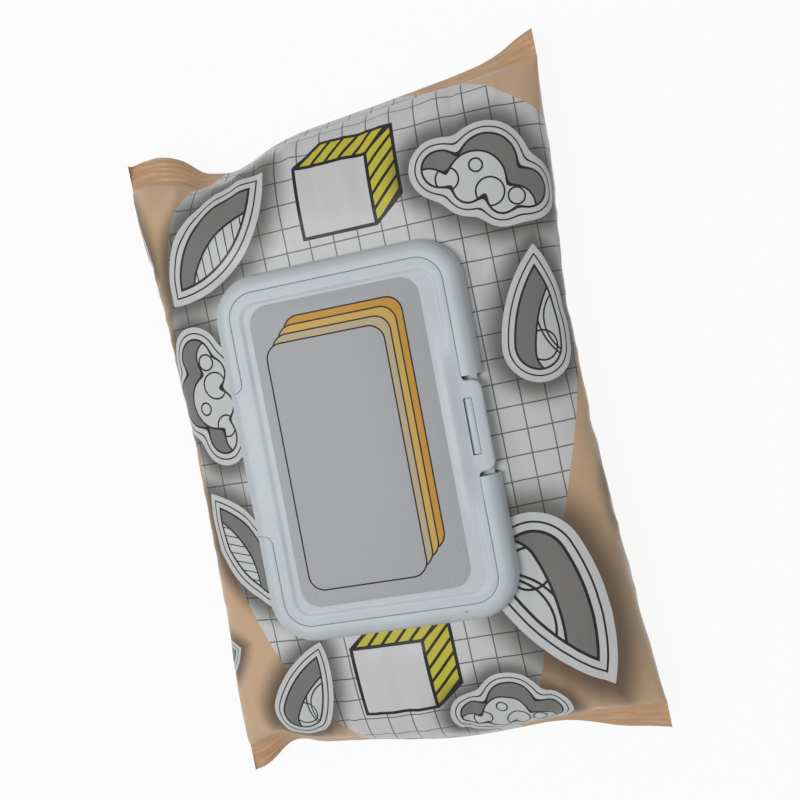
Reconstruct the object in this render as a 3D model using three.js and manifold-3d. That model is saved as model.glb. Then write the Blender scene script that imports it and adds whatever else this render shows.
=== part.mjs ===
// Wet wipes pack: a sealed flow-wrap pouch with a moulded flip-top lid glued over its window.
// Millimetres, +Z up. The pack lies on its back: X is its width, Y its length, and the origin is
// under its middle, on the surface that it lies on.
import * as THREE from "three";
import { mergeVertices } from "three/addons/utils/BufferGeometryUtils.js";
import Module from "manifold-3d";

const wasm = await Module();
wasm.setup();

// Pouch, filled with its folded wipes
const POUCH_WIDTH = 112; // half way along
const SEAL_WIDTH = 121; // of the film tube where it is pressed flat
const POUCH_LENGTH = 176; // over both end seals, laid flat, without the ends' own reach
const FILM_TOP = 27; // height of the film under the lid frame
const SEAL_HEIGHT = 10; // height of the end seals' inner line
const BODY_SQUARENESS = 3; // exponent of the filled section: 2 is an ellipse
const FLARE = 2.6; // exponent of the widening towards the seals
const SKEW = -0.018; // sideways drift of the section for each mm along
const SHOULDER_LENGTH = 30; // of the slope from the stack of wipes down to a seal
const SHOULDER_SQUARENESS = 2.2; // its exponent, as for the section
const BACK_PRESS = 3; // how far the back bulges into the surface before it is pressed flat
const BACK_MIDDLE = 11; // height of the section's widest line
const CORNER_START = 56; // distance along where the corners start to reach out

// Crimped end seals
const CRIMP_WIDTH = 8;
const CRIMP_PITCH = 1.6; // from rib to rib
const CRIMP_DEPTH = 0.25;
const SEAL_THICKNESS = 1;
const CURL_DEG = 60; // how far the middle of a seal curls down
const CURL_SQUARENESS = 3; // exponent of how the curl ends at the corners
const CORNER_POWER = 2.2; // exponent that brings a seal's corners out
// How far each end stands out in its middle and further at its left and right corners, and where a
// fold draws it in.
const ENDS = [
  { side: 1, set: 1, left: 0, right: 8, dip: 6, dipAt: -34, dipWidth: 13 },
  { side: -1, set: 4, left: 3, right: 5, dip: 4, dipAt: -43, dipWidth: 7 },
];

// Gathers in the film above a seal, and the fold that runs in from each corner
const GATHER_PITCH = 15;
const GATHER_DEPTH = 0.9;
const GATHER_LENGTH = 26;
const GATHER_START = 6; // distance from the seal in which a gather reaches its depth
const FOLD_DEPTH = 1.6;
const FOLD_WIDTH = 5;
const FOLD_RUN = 30; // how far in from the corner the fold ends
const FOLD_SLOPE = 0.75; // how far the fold comes in across the pack for each mm along
const WRINKLE_SQUARENESS = 4; // exponent that fades the wrinkles at the pouch's sides

// Fin seal along the back
const FIN_EDGE = 14; // distance of its free edge from the middle
const FIN_WIDTH = 11;
const FIN_TENT = 0.6; // height of the film beside its edges
const TENT_WIDTH = 1.6;
const ROOT_TENT = 0.3; // the same beside its root

// Lid frame
const LID_X = -2.7; // middle of the lid assembly on the pouch
const LID_Y = -4;
const FRAME_WIDTH = 68;
const FRAME_LENGTH = 100;
const FRAME_CORNER = 12;
const FRAME_HEIGHT = 6;
const RING_WIDTH = 4.95; // from the outer wall to the wall that the lid drops into
const RING_CROWN = 3.2; // width of the rounding on the outside
const RING_STRAIGHT = 1; // height of the outer wall below the rounding
const RING_LIP = 0.5; // rounding on the inside
const FLANGE = 1; // thickness of the plate that is glued down
const ADHESIVE = 0.1;
const FOOTPRINT_FALL = 5; // distance in which the film falls away around the frame

// Window for the wipes
const WINDOW_WIDTH = 40;
const WINDOW_LENGTH = 70;
const WINDOW_CORNER = 10;
const RIM_WALL = 1.3;
const RIM_GAP = 0.5; // from the rim's top to the closed lid

// Lid
const SEAM = 0.4; // clearance round the lid
const LID_CORNER = 6.5;
const LID_THICKNESS = 1.3;
const LID_DRAFT = 0.6; // the lid's edge slopes in by this below, so that it swings clear
const LID_EDGE = 0.8; // rounding of the lid's upper edge
const RIB_GAP = 0.35; // from the window's rim to the sealing rib
const RIB_WALL = 1;
const RIB_DEPTH = 2;

// Hinge strap, and its fold line on the frame's outer wall
const STRAP_LENGTH = 38;
const STRAP_FILLET = 3;
const STRAP_WALL = 1.1;
const FLARE_WALL = 0.3;
const HINGE_HEIGHT = 2; // above the frame's base
const FOLD_GAP = 0.3;

// Latch tab, its slot, and the catch on the frame that stands in the slot
const TAB_LENGTH = 23.8;
const TAB_INSET = 0.5; // of its front edge from the frame's outside
const TAB_CORNER = 2.6;
const TAB_TOP = 5.4;
const TAB_WALL = 1.3;
const TAB_LIP = 1.2; // width of the turned-down front edge
const TAB_LIP_BOTTOM = 3;
const LATCH_GAP = 1.1; // between the tab and the ends of the ring
const LATCH_LEDGE = 2.4;
const SLOT_WIDTH = 2.3;
const SLOT_LENGTH = 14.8;
const SLOT_IN = 5.2; // from the tab's front edge to the slot's inner side
const CATCH_GAP = 0.3;
const CATCH_DROP = 0.4; // the catch ends this far below the tab's top

// Thumb scoop in the lid beside the tab
const SCOOP_DEPTH = 0.6; // at the lid's edge
const SCOOP_LENGTH = 46; // along the lid's edge
const SCOOP_REACH = 8; // in from the lid's edge

// Labels
const LABEL_WIDTH = 46.7;
const LABEL_LENGTH = 81.7;
const LABEL_CORNER = 5.2;
const LABEL_THICKNESS = 0.2;
const LABEL_RECESS = 0.25;
const LABEL_GAP = 0.3; // round the label in its recess
const PEEL_MARGIN = 2.2; // from the window's edge to the peel label
const PEEL_THICKNESS = 0.25;
const PEEL_GRIP_RADIUS = 7;

// Fineness of curves
const POUCH_COLUMNS = 34;
const EDGE_CROWDING = 0.6; // how much closer the columns lie at the sides: 0 is even
const BODY_STEP = 5.5; // between the pouch's cross-sections
const SHOULDER_STEP = 3.2;
const CORNER_STEPS = 6;
const CROWN_STEPS = 5;
const SCOOP_STEPS = 8;
const MERGE_DISTANCE = 1e-4;
const LEAST_RADIUS = 0.001;
const CUT = 1; // how far a cutting body runs past what it cuts

const SEAL_LINE = POUCH_LENGTH / 2 - CRIMP_WIDTH;
const FRAME_BASE = FILM_TOP + ADHESIVE;
const LID_HALF_X = FRAME_WIDTH / 2 - RING_WIDTH - SEAM;
const LID_HALF_Y = FRAME_LENGTH / 2 - RING_WIDTH - SEAM;
const LID_BOTTOM = FRAME_HEIGHT - LID_THICKNESS;
const TAB_REACH = FRAME_WIDTH / 2 - TAB_INSET;
const lerp = THREE.MathUtils.lerp;
const clamp = THREE.MathUtils.clamp;
const smoothstep = THREE.MathUtils.smoothstep;

// Joins closed outlines of equal length, each to the next, into a surface that faces out when the
// outlines run anticlockwise and rise. `caps` closes the two ends; without it the last outline
// joins the first, which makes a ring.
function loft(outlines, caps) {
  const count = outlines[0].length;
  const positions = outlines.flat().flatMap((point) => [point.x, point.y, point.z]);
  const triangles = [];
  const bands = caps ? outlines.length - 1 : outlines.length;
  for (let band = 0; band < bands; band++) {
    const low = band * count;
    const high = ((band + 1) % outlines.length) * count;
    for (let i = 0; i < count; i++) {
      const next = (i + 1) % count;
      triangles.push(low + i, low + next, high + next, low + i, high + next, high + i);
    }
  }
  if (caps) {
    const top = (outlines.length - 1) * count;
    for (const [a, b, c] of caps(outlines[0])) triangles.push(c, b, a);
    for (const [a, b, c] of caps(outlines.at(-1))) triangles.push(top + a, top + b, top + c);
  }
  const geometry = new THREE.BufferGeometry();
  geometry.setAttribute("position", new THREE.Float32BufferAttribute(positions, 3));
  geometry.setIndex(triangles);
  geometry.computeVertexNormals();
  return geometry;
}

// Closes a flat outline.
function flatCap(outline) {
  return THREE.ShapeUtils.triangulateShape(
    outline.map((point) => new THREE.Vector2(point.x, point.y)),
    [],
  );
}

// Closes an outline whose first half runs over its second half, by a row of narrow faces.
function stripCap(outline) {
  const last = outline.length - 1;
  const faces = [];
  for (let i = 0; i < outline.length / 2 - 1; i++) {
    faces.push([i, i + 1, last - i], [i + 1, last - i - 1, last - i]);
  }
  return faces;
}

// A rounded rectangle round the middle of the lid assembly, at a height above the frame's base.
function roundedOutline(halfX, halfY, radius, z, centre = { x: 0, y: 0 }) {
  const corner = Math.max(radius, LEAST_RADIUS);
  const points = [];
  for (const [signX, signY, start] of [[1, 1, 0], [-1, 1, 90], [-1, -1, 180], [1, -1, 270]]) {
    for (let step = 0; step <= CORNER_STEPS; step++) {
      const angle = THREE.MathUtils.degToRad(start + (90 * step) / CORNER_STEPS);
      const x = centre.x + signX * (halfX - corner) + corner * Math.cos(angle);
      const y = centre.y + signY * (halfY - corner) + corner * Math.sin(angle);
      points.push(new THREE.Vector3(x, y, z));
    }
  }
  return points;
}

function roundedPlate(halfX, halfY, radius, bottom, top, centre) {
  return loft(
    [bottom, top].map((z) => roundedOutline(halfX, halfY, radius, z, centre)),
    flatCap,
  );
}

function boxBetween(low, high) {
  const size = high.map((value, axis) => value - low[axis]);
  const middle = high.map((value, axis) => (value + low[axis]) / 2);
  return new THREE.BoxGeometry(...size).translate(...middle);
}

function solidOf(geometry) {
  const bare = geometry.clone();
  bare.deleteAttribute("normal");
  bare.deleteAttribute("uv");
  const merged = mergeVertices(bare, MERGE_DISTANCE);
  return new wasm.Manifold(
    new wasm.Mesh({
      numProp: 3,
      vertProperties: new Float32Array(merged.attributes.position.array),
      triVerts: new Uint32Array(merged.index.array),
    }),
  );
}

function geometryOf(solid) {
  const { numProp, vertProperties, triVerts } = solid.getMesh();
  const geometry = new THREE.BufferGeometry();
  geometry.setAttribute("position", new THREE.BufferAttribute(vertProperties, numProp));
  geometry.setIndex(new THREE.BufferAttribute(triVerts, 1));
  geometry.computeVertexNormals();
  return geometry;
}

// Quarter of a superellipse: 1 at the middle, 0 at the edge.
function swell(t, power) {
  return (1 - clamp(Math.abs(t), 0, 1) ** power) ** (1 / power);
}

function bump(distance, width) {
  return Math.exp(-((distance / width) ** 2));
}

function halfWidth(y) {
  const t = Math.min(Math.abs(y) / SEAL_LINE, 1);
  return lerp(POUCH_WIDTH, SEAL_WIDTH, t ** FLARE) / 2;
}

// How far a point stands outside the lid frame's outline in plan, or 0 under it.
function outsideFrame(x, y) {
  const dx = Math.max(Math.abs(x - LID_X) - FRAME_WIDTH / 2 + FRAME_CORNER, 0);
  const dy = Math.max(Math.abs(y - LID_Y) - FRAME_LENGTH / 2 + FRAME_CORNER, 0);
  return Math.max(Math.hypot(dx, dy) - FRAME_CORNER, 0);
}

// The gathers run in from the seal and fade on the way; x is across the pack, inward the distance
// from the seal's line.
function gathers(x, inward, end) {
  const rise = clamp(inward / GATHER_START, 0, 1);
  const fade = clamp(1 - inward / GATHER_LENGTH, 0, 1);
  return GATHER_DEPTH * rise * fade * Math.cos((2 * Math.PI * x) / GATHER_PITCH + end.side);
}

// The fold from each corner of the seal towards the corner of the wipes.
function cornerFold(u, inward) {
  const across = (1 - Math.abs(u)) * (SEAL_WIDTH / 2);
  const rise = clamp(inward / GATHER_START, 0, 1) * clamp(1 - inward / FOLD_RUN, 0, 1);
  return FOLD_DEPTH * rise * bump(across - FOLD_SLOPE * inward, FOLD_WIDTH);
}

// The film beside the fin seal's two edges stands off the surface.
function finTent(x) {
  const root = bump(x - (FIN_EDGE - FIN_WIDTH), TENT_WIDTH);
  return FIN_TENT * bump(x - FIN_EDGE, TENT_WIDTH) + ROOT_TENT * root;
}

// One point of the pouch: u runs from -1 to 1 across it, station is a distance along it, and face
// is 1 on the printed side and -1 on the back.
function pouchPoint(u, station, face) {
  const end = ENDS.find(({ side }) => side === (station < 0 ? -1 : 1));
  const along = Math.min(Math.abs(station), SEAL_LINE);
  const inward = SEAL_LINE - along;
  const strip = Math.abs(station) - along;
  const x = u * halfWidth(along) + SKEW * station;

  const corner = (u < 0 ? end.left : end.right) * Math.abs(u) ** CORNER_POWER;
  const dip = end.dip * bump(x - end.dipAt, end.dipWidth);
  const reach = smoothstep(along, CORNER_START, SEAL_LINE) * (end.set + corner - dip);
  const curl = THREE.MathUtils.degToRad(CURL_DEG) * swell(u, CURL_SQUARENESS);
  const y = end.side * (along + reach + strip * Math.cos(curl));

  const shoulder = clamp(inward / SHOULDER_LENGTH, 0, 1);
  const length = swell(1 - shoulder, SHOULDER_SQUARENESS);
  const middle = lerp(SEAL_HEIGHT, BACK_MIDDLE, shoulder);
  const skin = SEAL_THICKNESS / 2;
  const ribs = strip > 0 ? Math.cos((2 * Math.PI * strip) / CRIMP_PITCH) * CRIMP_DEPTH : 0;
  const fill = length * swell(u, BODY_SQUARENESS);
  if (face < 0) {
    const back = middle - skin - (middle + BACK_PRESS) * fill;
    const lifted = back > 0 ? back : fill > 0 ? finTent(x) : 0;
    return new THREE.Vector3(x, y, lifted - strip * Math.sin(curl) + ribs);
  }
  const natural = middle + skin + (FILM_TOP - middle - skin) * fill;
  const wrinkles = gathers(x, inward, end) + cornerFold(u, inward);
  const creased = natural + wrinkles * swell(u, WRINKLE_SQUARENESS);
  const held = 1 - smoothstep(outsideFrame(x, y), 0, FOOTPRINT_FALL);
  const film = lerp(Math.min(creased, FILM_TOP), FILM_TOP, held);
  return new THREE.Vector3(x, y, film - strip * Math.sin(curl) + ribs);
}

// Distances along the pouch at which its cross-sections are taken, from its middle to one end.
function halfStations() {
  const stations = [];
  const shoulder = SEAL_LINE - SHOULDER_LENGTH;
  for (const [from, to, step] of [
    [0, shoulder, BODY_STEP],
    [shoulder, SEAL_LINE, SHOULDER_STEP],
    [SEAL_LINE, SEAL_LINE + CRIMP_WIDTH, CRIMP_PITCH / 2],
  ]) {
    const count = Math.max(Math.round((to - from) / step), 1);
    for (let i = 0; i < count; i++) stations.push(lerp(from, to, i / count));
  }
  stations.push(SEAL_LINE + CRIMP_WIDTH);
  return stations;
}

function filmPouch() {
  const half = halfStations();
  const stations = [...half.slice(1).map((station) => -station).reverse(), ...half];
  const across = [];
  for (let column = 0; column <= POUCH_COLUMNS; column++) {
    const even = (2 * column) / POUCH_COLUMNS - 1;
    across.push(lerp(even, Math.sin((even * Math.PI) / 2), EDGE_CROWDING));
  }
  const sections = stations.map((station) => [
    ...across.map((u) => pouchPoint(u, station, 1)),
    ...across.toReversed().map((u) => pouchPoint(u, station, -1)),
  ]);
  return loft(sections, stripCap);
}

// The frame's outer wall and crown as insets from its outline and heights over its base.
function crownProfile(inset = 0) {
  const profile = [{ in: inset, z: 0 }];
  for (let step = 0; step <= CROWN_STEPS; step++) {
    const angle = (Math.PI / 2) * (step / CROWN_STEPS);
    profile.push({
      in: inset + (RING_CROWN - inset) * (1 - Math.cos(angle)),
      z: RING_STRAIGHT + (FRAME_HEIGHT - inset - RING_STRAIGHT) * Math.sin(angle),
    });
  }
  return profile;
}

function frameOutline(inset, z) {
  const radius = FRAME_CORNER - inset;
  return roundedOutline(FRAME_WIDTH / 2 - inset, FRAME_LENGTH / 2 - inset, radius, z);
}

function windowOutline(grow, z) {
  return roundedOutline(WINDOW_WIDTH / 2 + grow, WINDOW_LENGTH / 2 + grow, WINDOW_CORNER + grow, z);
}

// The hinge strap in plan: it flares into the lid by a fillet at each side.
function strapShape(grow) {
  const halfLength = STRAP_LENGTH / 2 + grow;
  const lidEdge = -LID_HALF_X - grow;
  const radius = STRAP_FILLET - grow;
  const outside = -FRAME_WIDTH / 2 - CUT;
  const shape = new THREE.Shape();
  shape.moveTo(outside, -halfLength);
  shape.lineTo(lidEdge - radius, -halfLength);
  shape.absarc(lidEdge - radius, -halfLength - radius, radius, Math.PI / 2, 0, true);
  shape.lineTo(lidEdge + CUT, -halfLength - radius);
  shape.lineTo(lidEdge + CUT, halfLength + radius);
  shape.lineTo(lidEdge, halfLength + radius);
  shape.absarc(lidEdge - radius, halfLength + radius, radius, 0, -Math.PI / 2, true);
  shape.lineTo(outside, halfLength);
  return shape;
}

function extruded(shape, bottom, top) {
  const settings = { depth: top - bottom, bevelEnabled: false, curveSegments: CORNER_STEPS };
  return new THREE.ExtrudeGeometry(shape, settings).translate(0, 0, bottom);
}

function lidFrame() {
  const inner = FRAME_WIDTH / 2 - RING_WIDTH;
  const innerY = FRAME_LENGTH / 2 - RING_WIDTH;
  const innerCorner = LID_CORNER + SEAM;
  const rimTop = LID_BOTTOM - RIM_GAP;
  const ring = solidOf(
    loft([
      ...crownProfile().map((point) => frameOutline(point.in, point.z)),
      roundedOutline(inner + RING_LIP, innerY + RING_LIP, innerCorner + RING_LIP, FRAME_HEIGHT),
      roundedOutline(inner, innerY, innerCorner, FRAME_HEIGHT - RING_LIP),
      roundedOutline(inner, innerY, innerCorner, FLANGE),
      windowOutline(RIM_WALL, FLANGE),
      windowOutline(RIM_WALL, rimTop),
      windowOutline(0, rimTop),
      windowOutline(0, 0),
    ]),
  );
  const hingeGap = solidOf(
    extruded(strapShape(SEAM), HINGE_HEIGHT - FOLD_GAP / 2, FRAME_HEIGHT + CUT),
  );
  const halfGap = TAB_LENGTH / 2 + LATCH_GAP;
  const latchGap = boxBetween(
    [inner - CUT, -halfGap, LATCH_LEDGE],
    [FRAME_WIDTH / 2 + CUT, halfGap, FRAME_HEIGHT + CUT],
  );
  const slot = latchSlot();
  const catchBar = boxBetween(
    [slot.low + CATCH_GAP, -SLOT_LENGTH / 2 + CATCH_GAP, LATCH_LEDGE - FLANGE],
    [slot.high - CATCH_GAP, SLOT_LENGTH / 2 - CATCH_GAP, TAB_TOP - CATCH_DROP],
  );
  return geometryOf(ring.subtract(hingeGap).subtract(solidOf(latchGap)).add(solidOf(catchBar)));
}

function latchSlot() {
  const low = TAB_REACH - SLOT_IN;
  return { low, high: low + SLOT_WIDTH };
}

// The lid's flat plate: the edge slopes in below and is rounded above.
function lidPlate() {
  const outline = (inset, z) =>
    roundedOutline(LID_HALF_X - inset, LID_HALF_Y - inset, LID_CORNER - inset, z);
  return solidOf(
    loft(
      [
        outline(LID_DRAFT, LID_BOTTOM),
        outline(0, FRAME_HEIGHT - LID_EDGE),
        outline(LID_EDGE * (1 - Math.SQRT1_2), FRAME_HEIGHT - LID_EDGE * (1 - Math.SQRT1_2)),
        outline(LID_EDGE, FRAME_HEIGHT),
      ],
      flatCap,
    ),
  );
}

// The frame's outside as a skin of the given thickness, without its base.
function crownSkin(wall) {
  const outside = crownProfile().map((point) => frameOutline(point.in, point.z));
  const inside = crownProfile(wall).map((point, i) => frameOutline(point.in, i ? point.z : -CUT));
  return solidOf(loft(outside, flatCap)).subtract(solidOf(loft(inside, flatCap)));
}

// The strap follows the frame's crown down to the fold line. Its flares are thin, so that they rise
// clear of the ring as the lid swings.
function hingeStrap() {
  const bottom = HINGE_HEIGHT + FOLD_GAP / 2;
  const flared = extruded(strapShape(0), bottom, FRAME_HEIGHT + CUT);
  const straight = boxBetween(
    [-FRAME_WIDTH / 2 - CUT, -STRAP_LENGTH / 2, bottom],
    [-LID_HALF_X + CUT, STRAP_LENGTH / 2, FRAME_HEIGHT + CUT],
  );
  const flares = crownSkin(FLARE_WALL).intersect(solidOf(flared));
  return crownSkin(STRAP_WALL).intersect(solidOf(straight)).add(flares);
}

// The tab as a plate with a turned-down front edge, and the slot through it.
function latchTab() {
  const root = LID_HALF_X - LID_DRAFT - CUT;
  const half = TAB_LENGTH / 2;
  const cornerX = TAB_REACH - TAB_CORNER;
  const shape = new THREE.Shape();
  shape.moveTo(root, -half);
  shape.lineTo(cornerX, -half);
  shape.absarc(cornerX, -half + TAB_CORNER, TAB_CORNER, -Math.PI / 2, 0, false);
  shape.absarc(cornerX, half - TAB_CORNER, TAB_CORNER, 0, Math.PI / 2, false);
  shape.lineTo(root, half);
  const slot = latchSlot();
  const whole = solidOf(extruded(shape, TAB_LIP_BOTTOM, TAB_TOP));
  const under = boxBetween(
    [root - CUT, -half - CUT, TAB_LIP_BOTTOM - CUT],
    [TAB_REACH - TAB_LIP, half + CUT, TAB_TOP - TAB_WALL],
  );
  const opening = boxBetween(
    [slot.low, -SLOT_LENGTH / 2, 0],
    [slot.high, SLOT_LENGTH / 2, FRAME_HEIGHT + CUT],
  );
  return { body: whole.subtract(solidOf(under)), opening: solidOf(opening) };
}

// A hollow that slopes the lid's top down to the tab: an arc across, tilted to run out inwards, so
// that its edge curves in towards the label.
function thumbScoop() {
  const half = SCOOP_LENGTH / 2;
  const radius = half ** 2 / (2 * SCOOP_DEPTH);
  const spread = half * 1.2;
  const shape = new THREE.Shape();
  shape.moveTo(spread, radius);
  shape.lineTo(-spread, radius);
  for (let step = -SCOOP_STEPS; step <= SCOOP_STEPS; step++) {
    const across = (spread * step) / SCOOP_STEPS;
    shape.lineTo(across, across ** 2 / (2 * radius));
  }
  const run = SCOOP_REACH + CUT;
  const hollow = extruded(shape, 0, run);
  hollow.rotateX(Math.PI / 2).rotateZ(Math.PI / 2);
  hollow.rotateY(Math.atan(SCOOP_DEPTH / SCOOP_REACH));
  return solidOf(hollow.translate(LID_HALF_X - SCOOP_REACH, 0, FRAME_HEIGHT));
}

function lid() {
  const tab = latchTab();
  const rib = solidOf(
    loft([
      windowOutline(RIM_WALL + RIB_GAP + RIB_WALL, LID_BOTTOM - RIB_DEPTH),
      windowOutline(RIM_WALL + RIB_GAP + RIB_WALL, LID_BOTTOM + LID_THICKNESS / 2),
      windowOutline(RIM_WALL + RIB_GAP, LID_BOTTOM + LID_THICKNESS / 2),
      windowOutline(RIM_WALL + RIB_GAP, LID_BOTTOM - RIB_DEPTH),
    ]),
  );
  const recess = solidOf(
    roundedPlate(
      LABEL_WIDTH / 2,
      LABEL_LENGTH / 2,
      LABEL_CORNER,
      FRAME_HEIGHT - LABEL_RECESS,
      FRAME_HEIGHT + CUT,
    ),
  );
  const body = lidPlate().add(hingeStrap()).add(tab.body).add(rib);
  return geometryOf(body.subtract(thumbScoop()).subtract(recess).subtract(tab.opening));
}

function lidLabel() {
  const bottom = FRAME_HEIGHT - LABEL_RECESS;
  return roundedPlate(
    LABEL_WIDTH / 2 - LABEL_GAP,
    LABEL_LENGTH / 2 - LABEL_GAP,
    LABEL_CORNER - LABEL_GAP,
    bottom,
    bottom + LABEL_THICKNESS,
  );
}

// The peel label covers the cut in the film inside the window, with a round grip at one end.
function peelSeal() {
  const halfX = WINDOW_WIDTH / 2 - PEEL_MARGIN;
  const halfY = WINDOW_LENGTH / 2 - PEEL_MARGIN;
  const sheet = solidOf(
    roundedPlate(halfX, halfY - PEEL_GRIP_RADIUS / 2, WINDOW_CORNER - PEEL_MARGIN, 0, PEEL_THICKNESS, {
      x: 0,
      y: PEEL_GRIP_RADIUS / 2,
    }),
  );
  const grip = new THREE.CylinderGeometry(
    PEEL_GRIP_RADIUS,
    PEEL_GRIP_RADIUS,
    PEEL_THICKNESS,
    CORNER_STEPS * 4,
  );
  grip.rotateX(Math.PI / 2).translate(0, PEEL_GRIP_RADIUS - halfY, PEEL_THICKNESS / 2);
  return geometryOf(sheet.add(solidOf(grip)));
}

function piece(name, geometry, color, roughness) {
  const material = new THREE.MeshStandardMaterial({ color, roughness, metalness: 0 });
  const mesh = new THREE.Mesh(geometry, material);
  mesh.name = name;
  return mesh;
}

const pack = new THREE.Group();
pack.add(piece("film_pouch", filmPouch(), "#d9d7d4", 0.42));

const lidAssembly = new THREE.Group();
lidAssembly.position.set(LID_X, LID_Y, FRAME_BASE);
lidAssembly.add(piece("lid_frame", lidFrame(), "#c3cdd5", 0.4));
lidAssembly.add(piece("lid", lid(), "#c3cdd5", 0.4));
lidAssembly.add(piece("lid_label", lidLabel(), "#b4b3b5", 0.6));
lidAssembly.add(piece("peel_seal", peelSeal(), "#e4e4e2", 0.35));
pack.add(lidAssembly);

export default pack;
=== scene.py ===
"""A sealed pack of wet wipes: printed film, a moulded flip-top lid on its frame, and their labels.

Lengths in the formulas are millimetres and become metres where a vertex is placed. The pack lies on
its back: X is across it, Y along it, Z up out of the lid.
"""

import math

import bmesh
import bpy
import numpy as np
from bpy.props import FloatProperty, FloatVectorProperty, PointerProperty
from mathutils import Matrix, Vector, noise


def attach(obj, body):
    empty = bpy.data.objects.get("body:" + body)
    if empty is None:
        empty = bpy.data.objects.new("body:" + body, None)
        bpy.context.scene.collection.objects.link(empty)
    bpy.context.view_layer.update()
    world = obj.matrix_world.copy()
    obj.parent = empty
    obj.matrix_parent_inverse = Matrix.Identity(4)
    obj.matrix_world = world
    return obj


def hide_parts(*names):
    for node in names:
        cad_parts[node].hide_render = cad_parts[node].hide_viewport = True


bl_info = {
    "name": "Wet Wipes Pack",
    "version": (1, 0, 0),
    "blender": (4, 5, 0),
    "location": "3D View > Sidebar > Wipes",
    "description": "Dresses the packed solids of a wet wipes pack in film, plastic and labels",
    "category": "Add Mesh",
}

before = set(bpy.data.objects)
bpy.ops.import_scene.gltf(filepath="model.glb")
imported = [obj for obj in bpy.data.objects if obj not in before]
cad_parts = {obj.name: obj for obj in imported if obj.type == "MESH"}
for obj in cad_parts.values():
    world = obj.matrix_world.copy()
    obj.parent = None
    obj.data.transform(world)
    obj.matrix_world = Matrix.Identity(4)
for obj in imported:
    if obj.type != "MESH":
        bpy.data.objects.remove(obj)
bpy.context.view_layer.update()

MM = 0.001


def linear(code):
    """A hex colour as it is seen, turned into the linear values that shaders take."""
    parts = [int(code[i : i + 2], 16) / 255 for i in (1, 3, 5)]
    return tuple(c / 12.92 if c <= 0.04045 else ((c + 0.055) / 1.055) ** 2.4 for c in parts)


# Sizes of the film bag in millimetres

POUCH_WIDTH = 112
SEAL_WIDTH = 121
SEAL_LINE = 80
CRIMP_WIDTH = 8
CRIMP_PITCH = 1.6
FILM_TOP = 27
SEAL_HEIGHT = 10
BACK_MIDDLE = 11
BACK_PRESS = 3
BODY_SQUARENESS = 3
FLARE = 2.6
SKEW = -0.018
SHOULDER_LENGTH = 30
SHOULDER_SQUARENESS = 2.2
CORNER_START = 56
CORNER_POWER = 2.2
CURL_DEG = 60
CURL_SQUARENESS = 3
# How far the film's ends stand out, at +Y and then at -Y. They bow further out than the solid's
ENDS = {
    "set": (1, 4),
    "left": (0, 3),
    "right": (7, 4.4),
    "bow": (3.6, 6.2),
    "bow_at": (23, 3),
    "bow_width": (34, 34),
    "dip": (6, 3),
    "dip_at": (-34, -47),
    "dip_width": (13, 7),
}
# Where a seal's corner is turned: its end, place across, width, shift outward and share uncurled
END_TURNS = (
    (1, -66, 4.2, -4.5, 0),
    (1, 62, 2.2, -1.8, 0),
    (-1, 63, 2.0, -1.0, 0),
    (-1, -62, 2.2, -2.4, 0),
    (1, -51, 8.5, -0.6, 0.72),
    (1, -41.5, 3.0, -1.2, 0),
    (1, 58, 7, 0, 0.5),
    (-1, 52, 12, 0, 0.5),
    (-1, -57, 5, 0, 0.6),
)
FIN_EDGE = 14
FIN_WIDTH = 11
FIN_TENT = 0.6
ROOT_TENT = 0.3
TENT_WIDTH = 1.6

# Lid assembly: its middle, its outline, and the height of the frame's foot
LID_X, LID_Y = -2.7, -4
FRAME_WIDTH, FRAME_LENGTH, FRAME_CORNER = 68, 100, 12
FOOTPRINT_FALL = 5

FILM_COLUMNS = 124
BODY_STEP = 1.0
SEAL_STEP = 0.27
FILM_SKIN = 0.3
SKIN_SQUARENESS = 8
CRIMP_DEPTH = 0.12
TURN_START = 66  # distance along where a corner starts to turn
GATHER_REACH = 34  # how far in from a seal the gathers run
PARTED = 7  # distance in from a seal at which the film's two layers move freely
FRAME_HOLD = 9  # distance from the lid frame within which it holds the film flat

# Size of each kind of dent and fold across, along and up, in millimetres
DENTS = (34, 26, 22)
GATHERS = (9, 60, 40)
SMALL_GATHERS = (4.2, 26, 14)
CREASES = (40, 8, 12)
GATHER_DRIFT = (30, 40, 30)


# Shaping the film


def swell(t, power):
    """Quarter of a superellipse: 1 in the middle, 0 at the edge."""
    return (1 - np.clip(np.abs(t), 0, 1) ** power) ** (1 / power)


def bump(distance, width):
    return np.exp(-((distance / width) ** 2))


def ease(value, low, high):
    t = np.clip((value - low) / (high - low), 0, 1)
    return t * t * (3 - 2 * t)


def mix(a, b, share):
    return a + (b - a) * share


def outside_frame(x, y):
    """How far a point stands outside the lid frame's outline in plan."""
    dx = np.maximum(np.abs(x - LID_X) - FRAME_WIDTH / 2 + FRAME_CORNER, 0)
    dy = np.maximum(np.abs(y - LID_Y) - FRAME_LENGTH / 2 + FRAME_CORNER, 0)
    return np.maximum(np.hypot(dx, dy) - FRAME_CORNER, 0)


def roughness_of(points, scale, seed):
    """Smooth noise from -1 to 1 at each point; scale is the size of a dent along each axis."""
    flat = points.reshape(-1, 3) / np.array(scale, float) + seed
    values = [noise.noise(Vector(p)) for p in flat]
    return np.array(values).reshape(points.shape[:-1])


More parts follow.
